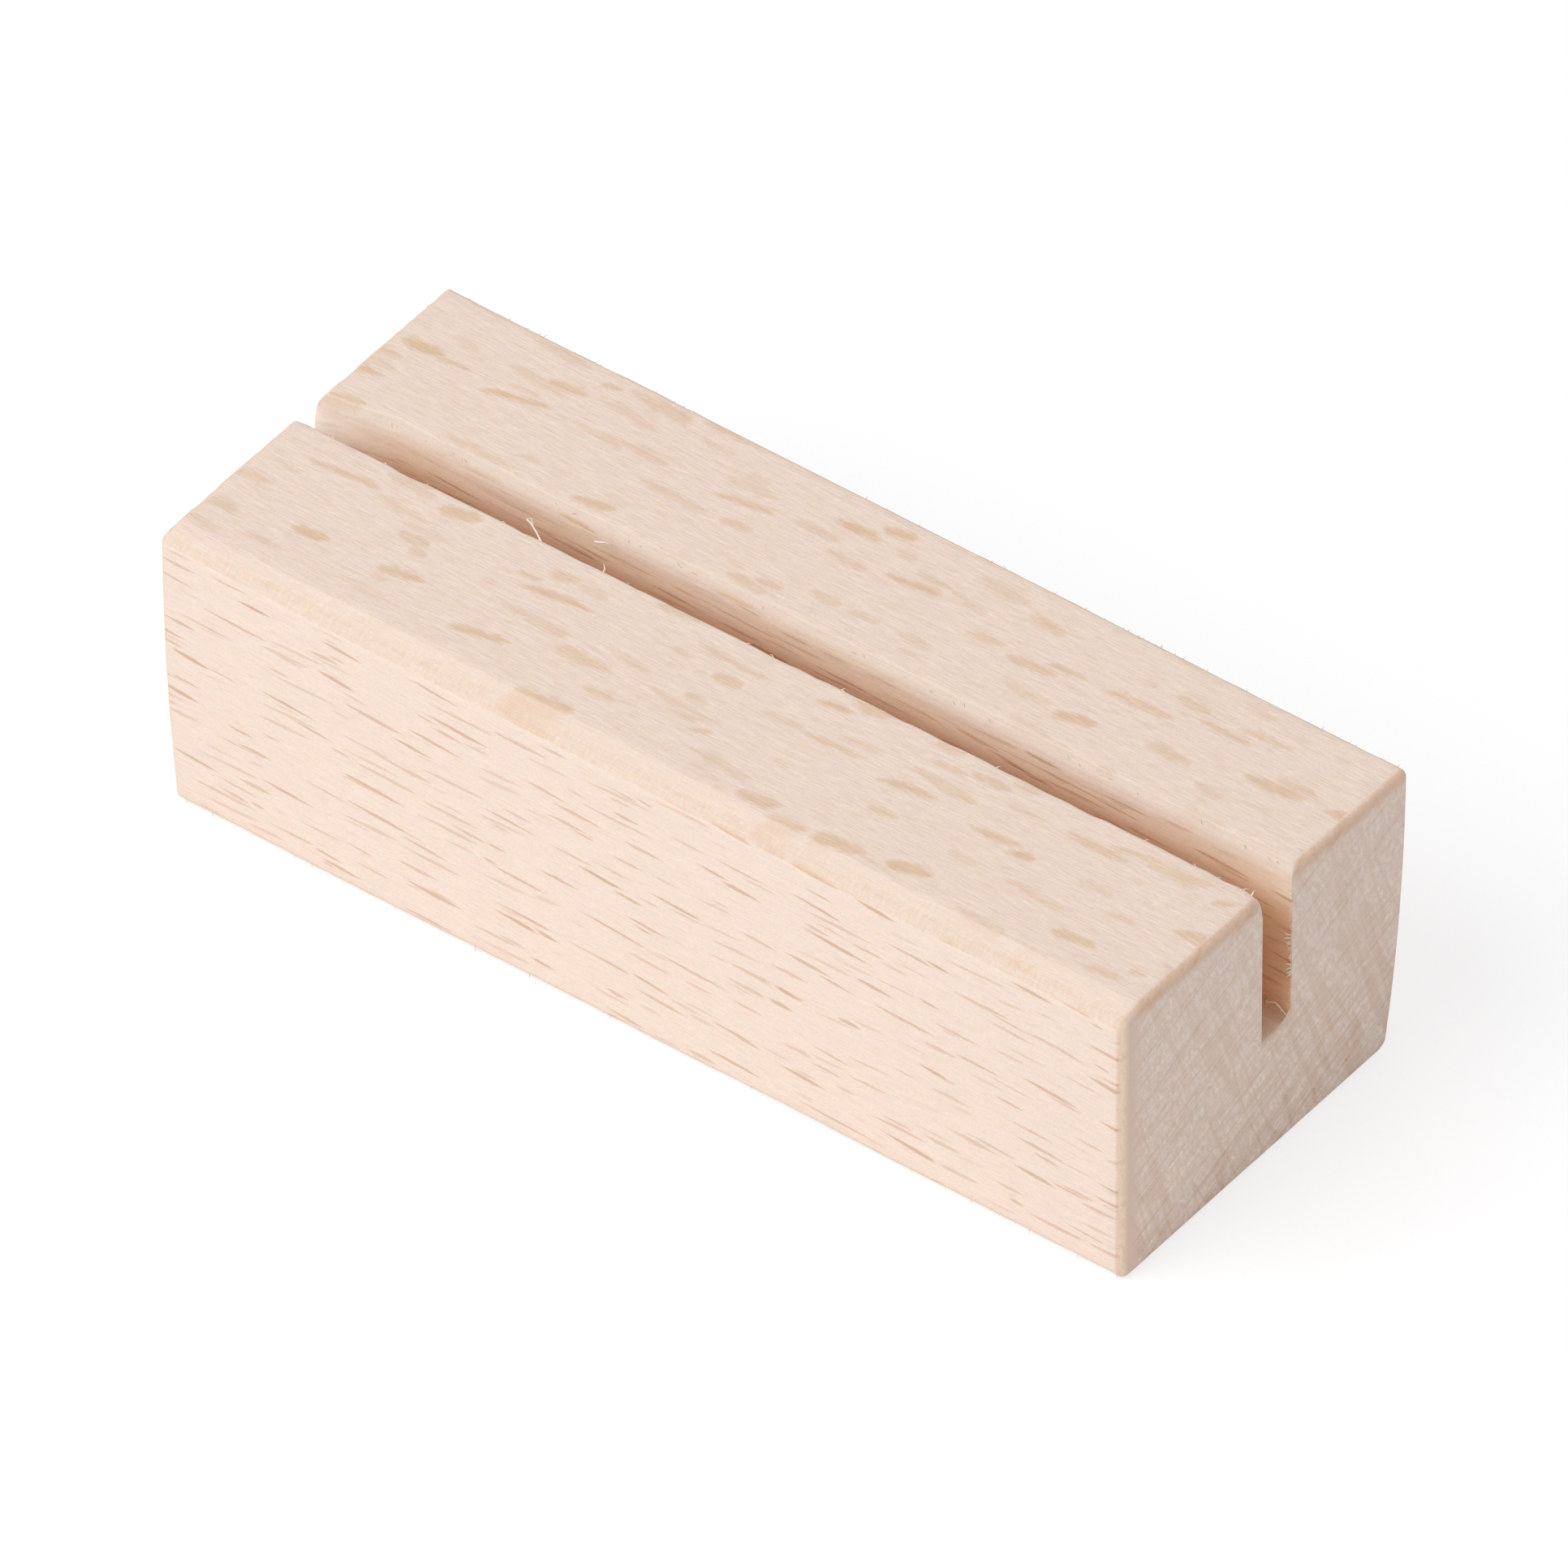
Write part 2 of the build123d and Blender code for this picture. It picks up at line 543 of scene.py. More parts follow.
# Rays show strongest where they are cut across or nearly flat, fainter on slanting faces and the ends
cross_cut = add(wood, "ShaderNodeMapRange", {0: on_end.outputs[0], 3: 1.0, 4: 0.25})
slanting = add(wood, "ShaderNodeMapRange", {0: top_square, 1: 0.0, 2: 0.5, 3: 1.0, 4: 0.35})
flat_cut = add(wood, "ShaderNodeMix", {0: on_top.outputs[0], 2: slanting.outputs[0], 3: 1.0})
cut_strength = add(
    wood, "ShaderNodeMath", {0: cross_cut.outputs[0], 1: flat_cut.outputs[0]}, operation="MULTIPLY"
)
ray_strength = add(
    wood, "ShaderNodeMath", {0: ray_shade.outputs[0], 1: cut_strength.outputs[0]}, operation="MULTIPLY"
)
side_tint = add(
    wood,
    "ShaderNodeMix",
    {0: lying.outputs[0], 6: linear("#e4d0be"), 7: linear("#f0d6ba")},
    data_type="RGBA",
)
ray_tint = add(
    wood,
    "ShaderNodeMix",
    {0: on_top.outputs[0], 6: side_tint.outputs[2], 7: linear("#f2e4d1")},
    data_type="RGBA",
)

# Cream wood whose fibres drift a little in colour
fibre_size = (1 / 6, 1 / 0.3, 1 / 0.3)
fibre_at = add(wood, "ShaderNodeVectorMath", {0: grain.outputs[0], 1: fibre_size}, operation="MULTIPLY")
fibre_drift = 0.035
fibre_tone = add(
    wood, "ShaderNodeTexNoise", {"Vector": fibre_at.outputs[0], "Scale": 1.0, "Detail": 3.0}
)
plain = add(
    wood,
    "ShaderNodeMix",
    {0: fibre_drift, 6: linear("#fae6d8"), 7: fibre_tone.outputs["Color"]},
    data_type="RGBA",
    blend_type="LINEAR_LIGHT",
)

# Fine dark and silky pale streaks, a tenth of a millimetre wide, plainer on the top
streak_size = (1 / 2, 1 / 0.11, 1 / 0.11)
streak_at = add(
    wood, "ShaderNodeVectorMath", {0: grain.outputs[0], 1: streak_size}, operation="MULTIPLY"
)
streaks = add(wood, "ShaderNodeTexNoise", {"Vector": streak_at.outputs[0], "Scale": 1.0, "Detail": 1.0})
streak_most = add(wood, "ShaderNodeMapRange", {0: on_top.outputs[0], 3: 0.5, 4: 1.0})
streak_share = add(
    wood, "ShaderNodeMapRange", {0: streaks.outputs[0], 1: 0.3, 2: 0.7, 4: streak_most.outputs[0]}
)
streaked = add(
    wood,
    "ShaderNodeMix",
    {0: streak_share.outputs[0], 6: plain.outputs[2], 7: linear("#f1ede9")},
    data_type="RGBA",
    blend_type="MULTIPLY",
)

# End grain: greyer and furry from the sander, the more so towards the top, its pale specks partly paler
# fibre and partly painted glints on the raised fur, with faint growth rings square to the rays, and the
# rays themselves as hair lines and pale silky ones
where = add(wood, "ShaderNodeSeparateXYZ", {0: coords.outputs["Object"]})
furriness = add(wood, "ShaderNodeMapRange", {0: where.outputs["Z"], 1: 3 * MM, 2: 24 * MM})
fur_size = (1 / 0.42, 1 / 0.42, 1 / 0.8)
fur_at = add(wood, "ShaderNodeVectorMath", {0: grain.outputs[0], 1: fur_size}, operation="MULTIPLY")
fur = add(
    wood,
    "ShaderNodeTexNoise",
    {"Vector": fur_at.outputs[0], "Scale": 1.0, "Detail": 4.0, "Roughness": 0.65},
)
# painted glints: the fur noise spreads the end's colour out to pale specks that stand for light caught
# on raised fibres as well as paler fibre
fur_tone_and_glints = add(wood, "ShaderNodeMapRange", {0: fur.outputs[0], 1: 0.25, 2: 0.75})
end_wood_and_glints = add(
    wood,
    "ShaderNodeMix",
    {0: fur_tone_and_glints.outputs[0], 6: linear("#eaceba"), 7: linear("#fdefe6")},
    data_type="RGBA",
)
bare = add(wood, "ShaderNodeMapRange", {0: furriness.outputs[0], 3: 1.0, 4: 0.45})
bare_spots = add(
    wood, "ShaderNodeMapRange", {0: fur.outputs[0], 1: 0.35, 2: 0.6, 4: bare.outputs[0]}
)
ring_size = (1 / 90, 1 / 2.6, 1 / 25)
ring_shade = linear("#f0e4d8")
hair_size = (1 / 90, 1 / 15, 1 / 1.1)
hair_shade = linear("#efe3d9")
silk_size = (1 / 90, 1 / 9, 1 / 1.4)
silk_shade = [1.12, 1.11, 1.10, 1]
line_level = 0.5
line_half_width = 0.05
end_colour = end_wood_and_glints.outputs[2]
for size, tint in ((ring_size, ring_shade), (hair_size, hair_shade), (silk_size, silk_shade)):
    line_at = add(wood, "ShaderNodeVectorMath", {0: grain.outputs[0], 1: size}, operation="MULTIPLY")
    levels = add(wood, "ShaderNodeTexNoise", {"Vector": line_at.outputs[0], "Scale": 1.0, "Detail": 2.0})
    from_line = add(wood, "ShaderNodeMath", {0: levels.outputs[0], 1: line_level}, operation="SUBTRACT")
    near_line = add(wood, "ShaderNodeMath", {0: from_line.outputs[0]}, operation="ABSOLUTE")
    line = add(
        wood,
        "ShaderNodeMapRange",
        {0: near_line.outputs[0], 1: line_half_width, 2: 0.0, 4: bare_spots.outputs[0]},
    )
    lined = add(
        wood,
        "ShaderNodeMix",
        {0: line.outputs[0], 6: end_colour, 7: tint},
        data_type="RGBA",
        blend_type="MULTIPLY",
    )
    end_colour = lined.outputs[2]
sided = add(
    wood,
    "ShaderNodeMix",
    {0: on_end.outputs[0], 6: streaked.outputs[2], 7: end_colour},
    data_type="RGBA",
)

# A faint speckle of cut cells lies over every face, and the rays over that
speckle_size = (1 / 0.3, 1 / 0.2, 1 / 0.2)
speckle_share = 0.09
speckle_at = add(
    wood, "ShaderNodeVectorMath", {0: grain.outputs[0], 1: speckle_size}, operation="MULTIPLY"
)
speckle = add(
    wood, "ShaderNodeTexNoise", {"Vector": speckle_at.outputs[0], "Scale": 1.0, "Detail": 2.0}
)
speckled = add(
    wood,
    "ShaderNodeMix",
    {0: speckle_share, 6: sided.outputs[2], 7: speckle.outputs["Color"]},
    data_type="RGBA",
    blend_type="LINEAR_LIGHT",
)
rayed = add(
    wood,
    "ShaderNodeMix",
    {0: ray_strength.outputs[0], 6: speckled.outputs[2], 7: ray_tint.outputs[2]},
    data_type="RGBA",
    blend_type="MULTIPLY",
)

# How far a point is from the middle of the slot, which runs a little askew
askew = add(
    wood,
    "ShaderNodeMath",
    {0: where.outputs["X"], 1: -slot_skew / half_length, 2: where.outputs["Y"]},
    operation="MULTIPLY_ADD",
)
from_slot = add(
    wood, "ShaderNodeMath", {0: askew.outputs[0], 1: slot_middle_y}, operation="SUBTRACT"
)
beside_slot = add(wood, "ShaderNodeMath", {0: from_slot.outputs[0]}, operation="ABSOLUTE")

# The hatch shows as a creamy ladder on the long arrises. The arrises also carry painted shade that damps
# the highlight they catch: a little in the ladder's cream, greyer where they turn down, and on the
# slot's lips a plain grey painted shade in place of the ladder
hatch_share = add(wood, "ShaderNodeMapRange", {0: hatch.outputs[0], 1: 0.3, 2: 0.7})
# painted shade: the ladder's cream sits a little below white, which also damps the arris highlight
hatch_and_painted_shade = add(
    wood,
    "ShaderNodeMix",
    {0: hatch_share.outputs[0], 6: linear("#fffefa"), 7: linear("#fbf3e8")},
    data_type="RGBA",
)
# painted shade: greyer where the arris turns down, in place of the highlight it catches there
turned_shade_share = add(wood, "ShaderNodeMapRange", {0: rounded.outputs[0], 1: 0.08, 2: 0.18})
turned_painted_shade = add(
    wood,
    "ShaderNodeMix",
    {0: turned_shade_share.outputs[0], 6: hatch_and_painted_shade.outputs[2], 7: linear("#f7f8fa")},
    data_type="RGBA",
    blend_type="MULTIPLY",
)
off_slot = add(
    wood,
    "ShaderNodeMapRange",
    {0: beside_slot.outputs[0], 1: slot_width / 2 + 1.0 * MM, 2: slot_width / 2 + 2.0 * MM},
)
# painted shade: the slot's lips get a plain grey instead of the ladder, dimming the lit roll of the lip
arris_hatch_and_painted_shade = add(
    wood,
    "ShaderNodeMix",
    {0: off_slot.outputs[0], 6: linear("#f0efec"), 7: turned_painted_shade.outputs[2]},
    data_type="RGBA",
)
arris_hatched_and_shaded = add(
    wood,
    "ShaderNodeMix",
    {0: long_arris.outputs[0], 6: rayed.outputs[2], 7: arris_hatch_and_painted_shade.outputs[2]},
    data_type="RGBA",
    blend_type="MULTIPLY",
)

# The sander burnished the ends' outlines: brown below the top, tan up the front corner, both uneven
off_end = add(wood, "ShaderNodeMath", {0: 1.0, 1: end_square}, operation="SUBTRACT")
turning = add(wood, "ShaderNodeMath", {0: off_end.outputs[0], 1: end_square}, operation="MULTIPLY")
end_round = add(wood, "ShaderNodeMapRange", {0: turning.outputs[0], 1: 0.0, 2: 0.2})
patchy = add(wood, "ShaderNodeMapRange", {0: fur.outputs[0], 1: 0.35, 2: 0.6, 3: 0.4, 4: 1.0})
clear_of_slot = add(
    wood,
    "ShaderNodeMapRange",
    {0: beside_slot.outputs[0], 1: slot_width / 2 + 0.2 * MM, 2: slot_width / 2 + 1.0 * MM},
)
under_top = add(
    wood,
    "ShaderNodeMapRange",
    {
        0: where.outputs["Z"],
        1: block_height - 1.7 * MM,
        2: block_height - 0.7 * MM,
        4: on_end.outputs[0],
    },
    interpolation_type="SMOOTHSTEP",
)
brown_zone = add(
    wood, "ShaderNodeMath", {0: under_top.outputs[0], 1: end_round.outputs[0]}, operation="MAXIMUM"
)
brown_spots = add(
    wood, "ShaderNodeMath", {0: brown_zone.outputs[0], 1: patchy.outputs[0]}, operation="MULTIPLY"
)
brown_share = add(
    wood,
    "ShaderNodeMath",
    {0: brown_spots.outputs[0], 1: clear_of_slot.outputs[0]},
    operation="MULTIPLY",
)
browned = add(
    wood,
    "ShaderNodeMix",
    {0: brown_share.outputs[0], 6: arris_hatched_and_shaded.outputs[2], 7: linear("#f7e3d2")},
    data_type="RGBA",
    blend_type="MULTIPLY",
)
end_side = add(wood, "ShaderNodeMapRange", {0: end_square, 1: 0.1, 2: 0.5})
beside_front = add(
    wood,
    "ShaderNodeMapRange",
    {
        0: where.outputs["Y"],
        1: block_low.y + 3.0 * MM,
        2: block_low.y + 1.2 * MM,
        4: end_side.outputs[0],
    },
    interpolation_type="SMOOTHSTEP",
)
on_corner = add(
    wood,
    "ShaderNodeMapRange",
    {0: where.outputs["Y"], 1: block_low.y + 1.0 * MM, 2: block_low.y + 0.5 * MM},
)
corner_colour = add(
    wood,
    "ShaderNodeMix",
    {0: on_corner.outputs[0], 6: linear("#efd1bf"), 7: linear("#ffe4c9")},
    data_type="RGBA",
)
tan_share = add(
    wood, "ShaderNodeMath", {0: beside_front.outputs[0], 1: patchy.outputs[0]}, operation="MULTIPLY"
)
burnished = add(
    wood,
    "ShaderNodeMix",
    {0: tan_share.outputs[0], 6: browned.outputs[2], 7: corner_colour.outputs[2]},
    data_type="RGBA",
)

# The cutter warmed the slot's walls to a deeper brown and left dark tears along the grain. The rolled
# back lip ends in a ragged line, and the burr at the left end is painted pale cream as painted light.
between_walls = add(
    wood,
    "ShaderNodeMapRange",
    {0: beside_slot.outputs[0], 1: slot_width / 2 + 0.4 * MM, 2: slot_width / 2 + 0.1 * MM},
    interpolation_type="SMOOTHSTEP",
)
below_lip = add(
    wood,
    "ShaderNodeMapRange",
    {0: where.outputs["Z"], 1: block_height - 2.0 * MM, 2: block_height - 6.5 * MM},
    interpolation_type="SMOOTHSTEP",
)
deepness = add(
    wood,
    "ShaderNodeMapRange",
    {0: where.outputs["Z"], 1: block_height - 6.0 * MM, 2: block_height - 13.0 * MM},
)
wall_tint = add(
    wood,
    "ShaderNodeMix",
    {0: deepness.outputs[0], 6: linear("#eed5bf"), 7: linear("#fce3ca")},
    data_type="RGBA",
)
tear_size = (1 / 9, 1 / 0.5, 1 / 0.35)
tear_at = add(wood, "ShaderNodeVectorMath", {0: grain.outputs[0], 1: tear_size}, operation="MULTIPLY")
tears = add(wood, "ShaderNodeTexNoise", {"Vector": tear_at.outputs[0], "Scale": 1.0, "Detail": 2.0})
floor_share = 0.3
roll_raggedness = 5 * MM
walled = add(
    wood, "ShaderNodeMath", {0: top_square, 1: floor_share, 2: side_square}, operation="MULTIPLY_ADD"
)
roll_ragged = add(
    wood,
    "ShaderNodeMath",
    {0: tears.outputs[0], 1: roll_raggedness, 2: where.outputs["Z"]},
    operation="MULTIPLY_ADD",
)
below_roll = add(
    wood,
    "ShaderNodeMapRange",
    {
        0: roll_ragged.outputs[0],
        1: block_height + 1.6 * MM,
        2: block_height + 0.4 * MM,
        4: walled.outputs[0],
    },
)
walled_in = add(
    wood,
    "ShaderNodeMath",
    {0: between_walls.outputs[0], 1: below_roll.outputs[0]},
    operation="MULTIPLY",
)
past_burr = add(
    wood,
    "ShaderNodeMapRange",
    {0: where.outputs["X"], 1: block_low.x + 1 * MM, 2: block_low.x + 8 * MM},
)
walls = add(
    wood, "ShaderNodeMath", {0: walled_in.outputs[0], 1: past_burr.outputs[0]}, operation="MULTIPLY"
)
deep_walls = add(
    wood, "ShaderNodeMath", {0: walls.outputs[0], 1: below_lip.outputs[0]}, operation="MULTIPLY"
)
yellowed = add(
    wood,
    "ShaderNodeMix",
    {0: walls.outputs[0], 6: burnished.outputs[2], 7: linear("#fffaef")},
    data_type="RGBA",
    blend_type="MULTIPLY",
)
scorched = add(
    wood,
    "ShaderNodeMix",
    {0: deep_walls.outputs[0], 6: yellowed.outputs[2], 7: wall_tint.outputs[2]},
    data_type="RGBA",
    blend_type="MULTIPLY",
)
near_roll = add(
    wood,
    "ShaderNodeMapRange",
    {0: where.outputs["Z"], 1: block_height - 3.4 * MM, 2: block_height - 2.0 * MM},
)
more_cracks = 0.08
cracks = add(
    wood,
    "ShaderNodeMath",
    {0: near_roll.outputs[0], 1: more_cracks, 2: tears.outputs[0]},
    operation="MULTIPLY_ADD",
)
tear_share = add(wood, "ShaderNodeMapRange", {0: cracks.outputs[0], 1: 0.62, 2: 0.74})
torn = add(wood, "ShaderNodeMath", {0: tear_share.outputs[0], 1: walls.outputs[0]}, operation="MULTIPLY")
slotted = add(
    wood,
    "ShaderNodeMix",
    {0: torn.outputs[0], 6: scorched.outputs[2], 7: linear("#cfb095")},
    data_type="RGBA",
    blend_type="MULTIPLY",
)
# painted light: the burr's wall is mixed towards pale cream, most at the left end and gone 8 mm in
burr_light_most = add(wood, "ShaderNodeMapRange", {0: past_burr.outputs[0], 3: 0.8, 4: 0.0})
burr_light_share = add(
    wood, "ShaderNodeMath", {0: walled_in.outputs[0], 1: burr_light_most.outputs[0]}, operation="MULTIPLY"
)
burr_painted_light = add(
    wood,
    "ShaderNodeMix",
    {0: burr_light_share.outputs[0], 6: slotted.outputs[2], 7: linear("#fff3e6")},
    data_type="RGBA",
)
wood.links.new(burr_painted_light.outputs[2], shader.inputs["Base Color"])

# Dull, with the rays a little smoother than the fibres, and a faint relief of streaks, fur and hatch
dullness = add(wood, "ShaderNodeMapRange", {0: ray_strength.outputs[0], 3: 0.75, 4: 0.6})
wood.links.new(dullness.outputs[0], shader.inputs["Roughness"])
fur_share = 0.3
ray_sink = -0.4
relief_depth = 0.02 * MM
fur_relief = add(wood, "ShaderNodeMath", {0: fur.outputs[0], 1: fur_share}, operation="MULTIPLY")
relief = add(
    wood,
    "ShaderNodeMix",
    {0: on_end.outputs[0], 2: streaks.outputs[0], 3: fur_relief.outputs[0]},
)
hatched = add(
    wood,
    "ShaderNodeMix",
    {0: long_arris.outputs[0], 2: relief.outputs[0], 3: hatch.outputs[0]},
)
sunken = add(
    wood,
    "ShaderNodeMath",
    {0: ray_strength.outputs[0], 1: ray_sink, 2: hatched.outputs[0]},
    operation="MULTIPLY_ADD",
)
bump = add(
    wood, "ShaderNodeBump", {"Height": sunken.outputs[0], "Strength": 1.0, "Distance": relief_depth}
)
wood.links.new(bump.outputs[0], shader.inputs["Normal"])
block.data.materials.append(beech)
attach(block, "root")
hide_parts("slotted_block")


# Torn fibres
# Where the groove cutter and the saw broke out, single fibres and small tufts stand off the slot's
# lips and right end, the long arrises at the back top and the front foot, and the frayed left end.
# The boldest are placed one by one.

bold_radius = 0.1 * MM
bold_fibres_mm = (
    (
        (-23.9, -1.9, 28.9),
        (-24.3, -1.6, 29.15),
        (-25.2, -1.0, 29.2),
        (-26.2, -0.4, 29.2),
        (-26.9, -0.1, 29.15),
        (-27.1, 0.1, 29.0),
        (-26.7, 0.25, 29.1),
        (-26.4, -0.1, 29.2),
        (-25.6, -0.75, 29.05),
    ),
    ((-20.9, 1.3, 28.9), (-20.1, 1.7, 28.95), (-19.4, 1.9, 28.9)),
    ((-17.8, -1.6, 29.0), (-17.9, -1.2, 29.2), (-18.4, -0.68, 29.2)),
    ((49.5, -1.3, 28.9), (49.45, -0.95, 29.15), (49.35, -0.54, 29.2)),
    ((50.2, 3.6, 21.6), (50.4, 3.2, 21.8), (50.4, 2.31, 22.38)),
    ((50.2, 3.6, 21.3), (50.42, 3.2, 21.4), (50.38, 2.6, 21.6)),
    ((50.2, 3.6, 18.3), (50.4, 3.2, 18.5), (50.4, 2.47, 18.73)),
    ((50.2, 3.6, 18.0), (50.42, 3.1, 18.1), (50.38, 2.7, 18.2)),
    ((50.2, 3.6, 21.9), (50.4, 3.1, 22.2), (50.35, 2.5, 22.7)),
    ((50.2, 3.6, 21.2), (50.4, 3.2, 21.2), (50.35, 2.75, 21.3)),
    ((50.2, 3.6, 18.6), (50.4, 3.1, 18.9), (50.35, 2.6, 19.3)),
    ((50.2, 3.6, 17.8), (50.4, 3.1, 17.8), (50.35, 2.8, 17.7)),
    (
        (48.0, 3.3, 13.6),
        (48.2, 2.8, 13.8),
        (48.43, 2.5, 14.0),
        (49.0, 2.5, 14.35),
        (49.44, 2.5, 14.5),
        (49.8, 2.6, 14.1),
        (50.1, 2.75, 13.6),
        (50.3, 2.95, 13.2),
    ),
)

# Fine fuzz: from where to where it grows, how high, which way it leans, how many and how long in mm
fuzz_radius = 0.045 * MM
left_x = block_low.x
right_x = block_high.x
front_y = block_low.y
back_y = block_high.y
front_lip_y = slot_front_y - 0.1 * MM
back_lip_y = slot_back_y + 0.2 * MM
fuzz_rows = (
    ((left_x, back_lip_y), (right_x, back_lip_y), block_height, (1, -0.5, 0.1), 40, 0.6),
    ((left_x, front_lip_y), (right_x, front_lip_y), block_height, (1, 0.3, 0.1), 14, 0.45),
    ((left_x, back_y), (right_x, back_y), block_height - 0.4 * MM, (0.6, 0.3, 0.8), 60, 0.35),
    ((left_x, front_y), (left_x, back_y), block_height - 0.3 * MM, (-0.4, 0.3, 0.6), 14, 0.22),
    ((left_x, front_y), (right_x, front_y), 0.5 * MM, (0.5, -0.4, -0.6), 30, 0.35),
)
shortest_share = 0.4
edge_tufts = 26
tuft_lean = (0.1, -1, 0.2)
tuft_lengths_mm = (0.12, 0.4)
fibre_spread = 0.5
fibre_arch = 0.3
tip_lift = (0.1, 0.5)
tip_taper = 0.6
merge_distance = 0.001 * MM
cad_low, cad_high = cad_box
margin = fuzz_radius + 0.01 * MM
chance = random.Random(11)


def kept_inside(point):
    """The point, brought inside the block's outer box where it would stand out of it."""
    return Vector(
        [min(max(p, low + margin), high - margin) for p, low, high in zip(point, cad_low, cad_high)]
    )


def rooted(start, lean, length):
    """Three points of a fibre that grows from the wood nearest to the start and leans one way."""
    _, root, normal, _ = block.closest_point_on_mesh(start)
    spread = Vector([chance.uniform(-fibre_spread, fibre_spread) for _ in range(3)])
    run = (Vector(lean) * chance.choice((-1, 1, 1)) + spread).normalized() * length
    middle = root + run / 2 + normal * length * fibre_arch
    tip = root + run + normal * length * chance.uniform(*tip_lift)
    return [root - normal * fuzz_radius, middle, tip]


strands = [([Vector(p) * MM for p in points], bold_radius) for points in bold_fibres_mm]
for (x0, y0), (x1, y1), height, lean, count, longest in fuzz_rows:
    for _ in range(count):
        along_row = chance.random()
        x = x0 + (x1 - x0) * along_row
        y = y0 + (y1 - y0) * along_row
        if abs(y0 - slot_middle_y) < slot_width:
            y += slot_skew * x / half_length
        length = longest * MM * chance.uniform(shortest_share, 1)
        strands.append((rooted(Vector((x, y, height)), lean, length), fuzz_radius))
for _ in range(edge_tufts):
    height = chance.uniform(slot_floor_z, block_height - 1 * MM)
    start = Vector((right_x, slot_back_y + slot_skew, height))
    length = chance.uniform(*tuft_lengths_mm) * MM
    strands.append((rooted(start, tuft_lean, length), fuzz_radius))

fuzz_curve = bpy.data.curves.new("torn_fibres", "CURVE")
fuzz_curve.dimensions = "3D"
fuzz_curve.bevel_depth = 1.0
fuzz_curve.bevel_resolution = 1
fuzz_curve.use_fill_caps = True
for points, radius in strands:
    strand = fuzz_curve.splines.new("POLY")
    strand.points.add(len(points) - 1)
    for i, point in enumerate(points):
        strand.points[i].co = (*kept_inside(point), 1)
        strand.points[i].radius = radius * (1 - tip_taper * i / (len(points) - 1))
fibre_tufts = bpy.data.objects.new("torn_fibres", fuzz_curve)
bpy.context.scene.collection.objects.link(fibre_tufts)
bpy.ops.object.select_all(action="DESELECT")
fibre_tufts.select_set(True)
bpy.context.view_layer.objects.active = fibre_tufts
bpy.ops.object.convert(target="MESH")
fibre_tufts = bpy.context.object
bpy.ops.object.mode_set(mode="EDIT")
bpy.ops.mesh.select_all(action="SELECT")
bpy.ops.mesh.remove_doubles(threshold=merge_distance)
bpy.ops.mesh.normals_make_consistent(inside=False)
bpy.ops.object.mode_set(mode="OBJECT")
bpy.ops.object.shade_smooth()

# Torn beech fibre: bare and dull like the block, paler and browner by turns every 1.5 mm or so
torn_fibre = bpy.data.materials.new("torn_fibre")
torn_fibre.use_nodes = True
hair = torn_fibre.node_tree
hair_tone_length = 1.5 * MM
hair_at = add(hair, "ShaderNodeTexCoord")
hair_tone = add(
    hair,
    "ShaderNodeTexNoise",
    {"Vector": hair_at.outputs["Object"], "Scale": 1 / hair_tone_length, "Detail": 1.0},
)
hair_share = add(hair, "ShaderNodeMapRange", {0: hair_tone.outputs[0], 1: 0.35, 2: 0.65})
hair_colour = add(
    hair,
    "ShaderNodeMix",
    {0: hair_share.outputs[0], 6: linear("#fdf2e8"), 7: linear("#efdcca")},
    data_type="RGBA",
)
hair.links.new(hair_colour.outputs[2], hair.nodes["Principled BSDF"].inputs["Base Color"])
hair.nodes["Principled BSDF"].inputs["Roughness"].default_value = 0.7
fibre_tufts.data.materials.append(torn_fibre)
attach(fibre_tufts, "root")


# Studio
# A white floor that keeps a soft shadow, a big soft lamp in front and above, and a long lens
# from the front right and above.

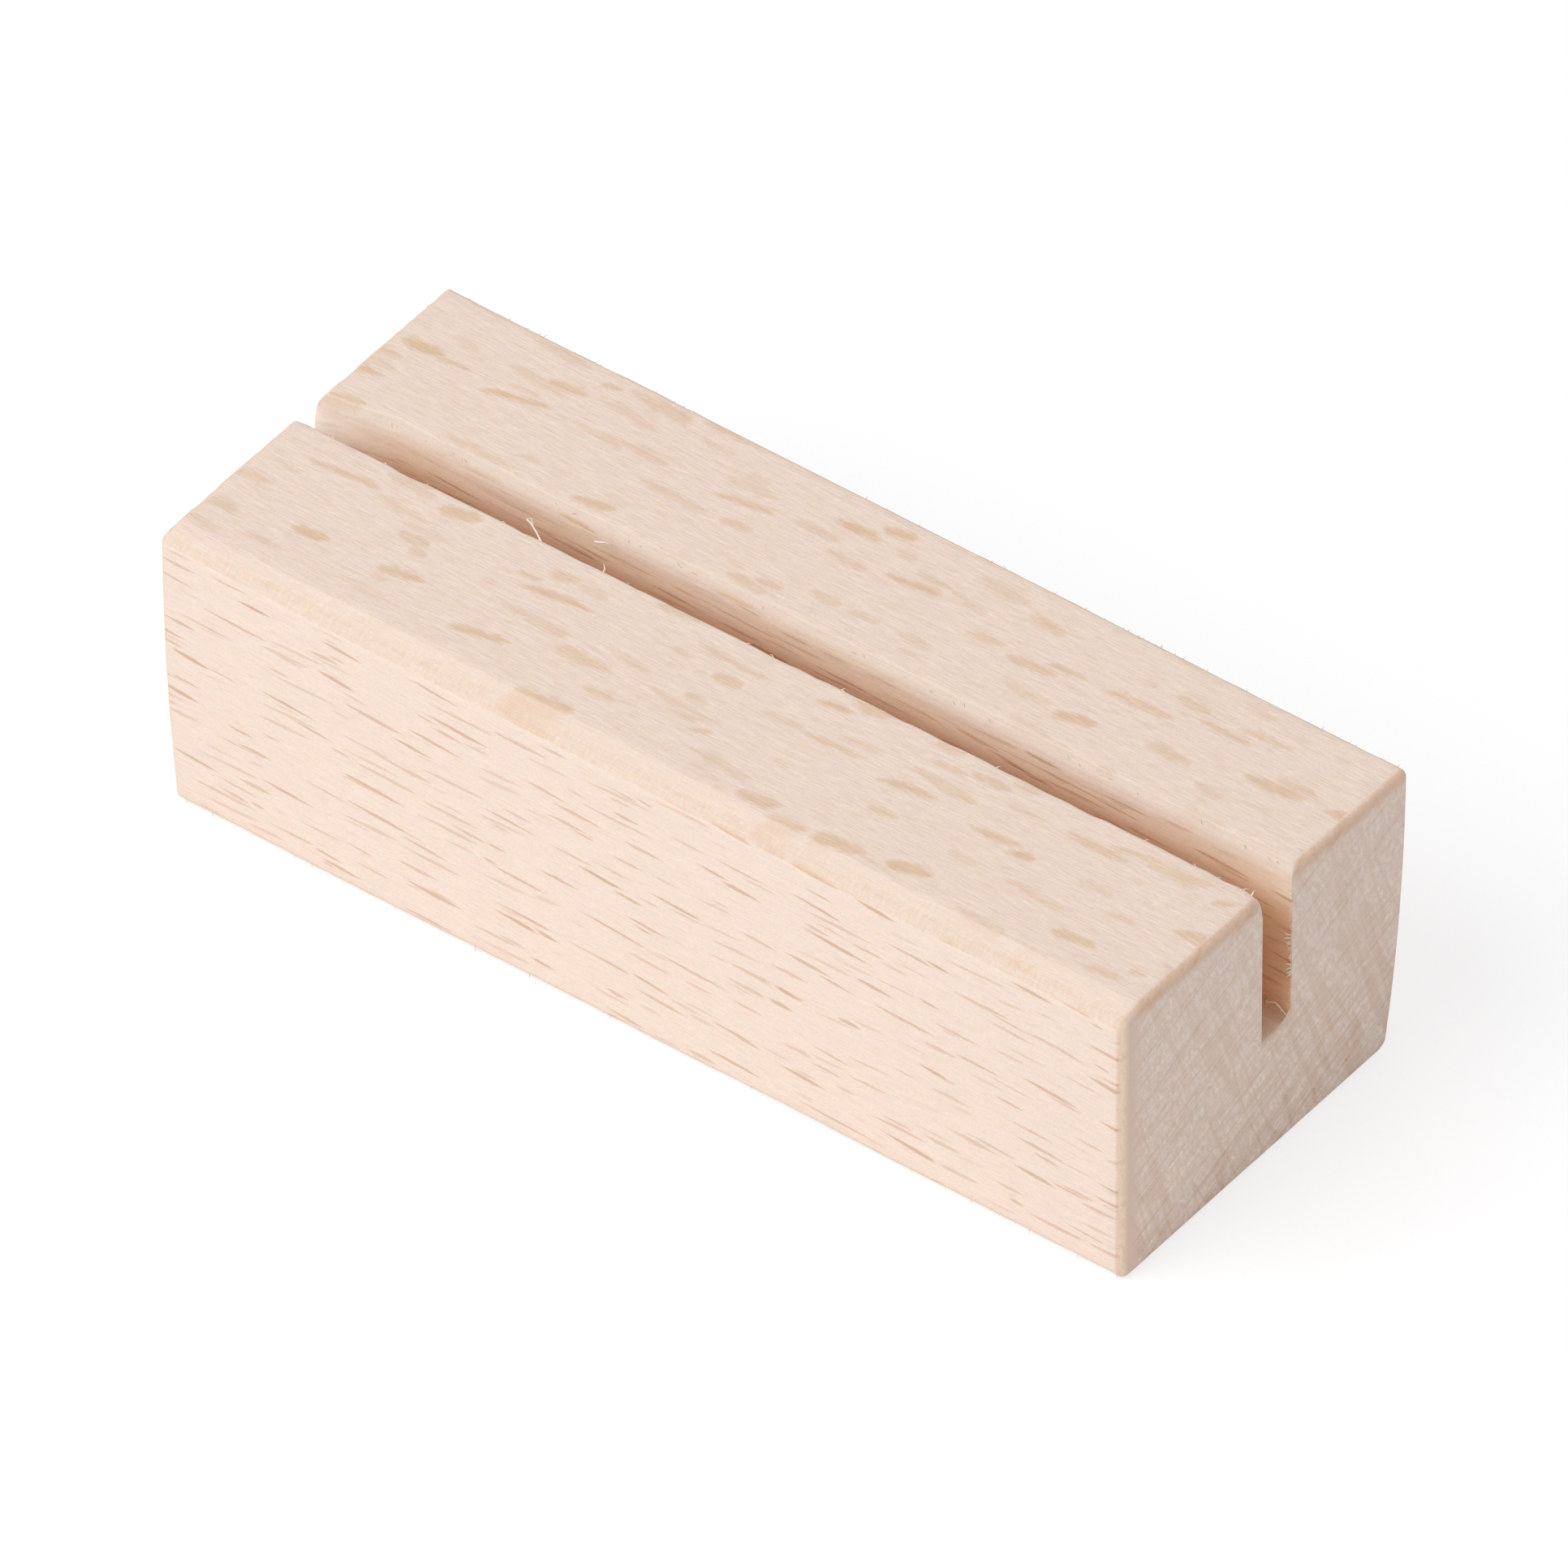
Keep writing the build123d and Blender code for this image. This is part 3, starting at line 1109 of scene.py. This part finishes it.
floor_size = 4.0
bpy.ops.mesh.primitive_plane_add(size=floor_size, location=(0, 0, 0))
floor = bpy.context.object
floor.name = "studio_floor"
paper = bpy.data.materials.new("white_paper")
paper.use_nodes = True
white = paper.node_tree
white.nodes["Principled BSDF"].inputs["Base Color"].default_value = linear("#f4f4f4")
white.nodes["Principled BSDF"].inputs["Roughness"].default_value = 0.9
seen = add(white, "ShaderNodeLightPath")
glow = add(white, "ShaderNodeEmission", {"Color": linear("#ffffff"), "Strength": 0.7})
dim = add(white, "ShaderNodeBsdfDiffuse", {"Color": linear("#a0a0a0")})
lit = add(white, "ShaderNodeAddShader", {0: glow.outputs[0], 1: dim.outputs[0]})
pick = add(
    white,
    "ShaderNodeMixShader",
    {
        0: seen.outputs["Is Camera Ray"],
        1: white.nodes["Principled BSDF"].outputs[0],
        2: lit.outputs[0],
    },
)
white.links.new(pick.outputs[0], white.nodes["Material Output"].inputs["Surface"])
floor.data.materials.append(paper)

world = bpy.data.worlds.new("studio")
bpy.context.scene.world = world
world.use_nodes = True
sky = world.node_tree
shell = sky.nodes["Background"]
shell.inputs["Color"].default_value = linear("#ffffff")
shell.inputs["Strength"].default_value = 0.52
backdrop = add(sky, "ShaderNodeBackground", {"Color": linear("#ffffff"), "Strength": 1.0})
sky_seen = add(sky, "ShaderNodeLightPath")
either = add(
    sky,
    "ShaderNodeMixShader",
    {0: sky_seen.outputs["Is Camera Ray"], 1: shell.outputs[0], 2: backdrop.outputs[0]},
)
sky.links.new(either.outputs[0], sky.nodes["World Output"].inputs["Surface"])

aim_point = Vector((0, 0, 13.94 * MM))


def aim(thing, spot):
    """Stand a lamp or the camera at a spot, looking at the block."""
    thing.location = spot
    thing.rotation_euler = (aim_point - Vector(spot)).to_track_quat("-Z", "Y").to_euler()


key_data = bpy.data.lights.new("key", "AREA")
key_data.size = 0.9
key_data.energy = 10.5
key = bpy.data.objects.new("key", key_data)
bpy.context.scene.collection.objects.link(key)
aim(key, (-0.35, -0.78, 1.05))

camera_data = bpy.data.cameras.new("camera")
camera = bpy.data.objects.new("camera", camera_data)
bpy.context.scene.collection.objects.link(camera)
bpy.context.scene.camera = camera
camera_azimuth = math.radians(37.21)
camera_elevation = math.radians(41.81)
camera_distance = 3.6
photo_width_px = 1932
photo_scale_px_per_mm = 14.734
camera_data.sensor_width = 36
camera_data.lens = (
    camera_data.sensor_width * photo_scale_px_per_mm * camera_distance / MM / photo_width_px
)
away = Vector(
    (
        math.sin(camera_azimuth) * math.cos(camera_elevation),
        -math.cos(camera_azimuth) * math.cos(camera_elevation),
        math.sin(camera_elevation),
    )
)
aim(camera, aim_point + away * camera_distance)

bpy.context.scene.view_settings.view_transform = "Standard"
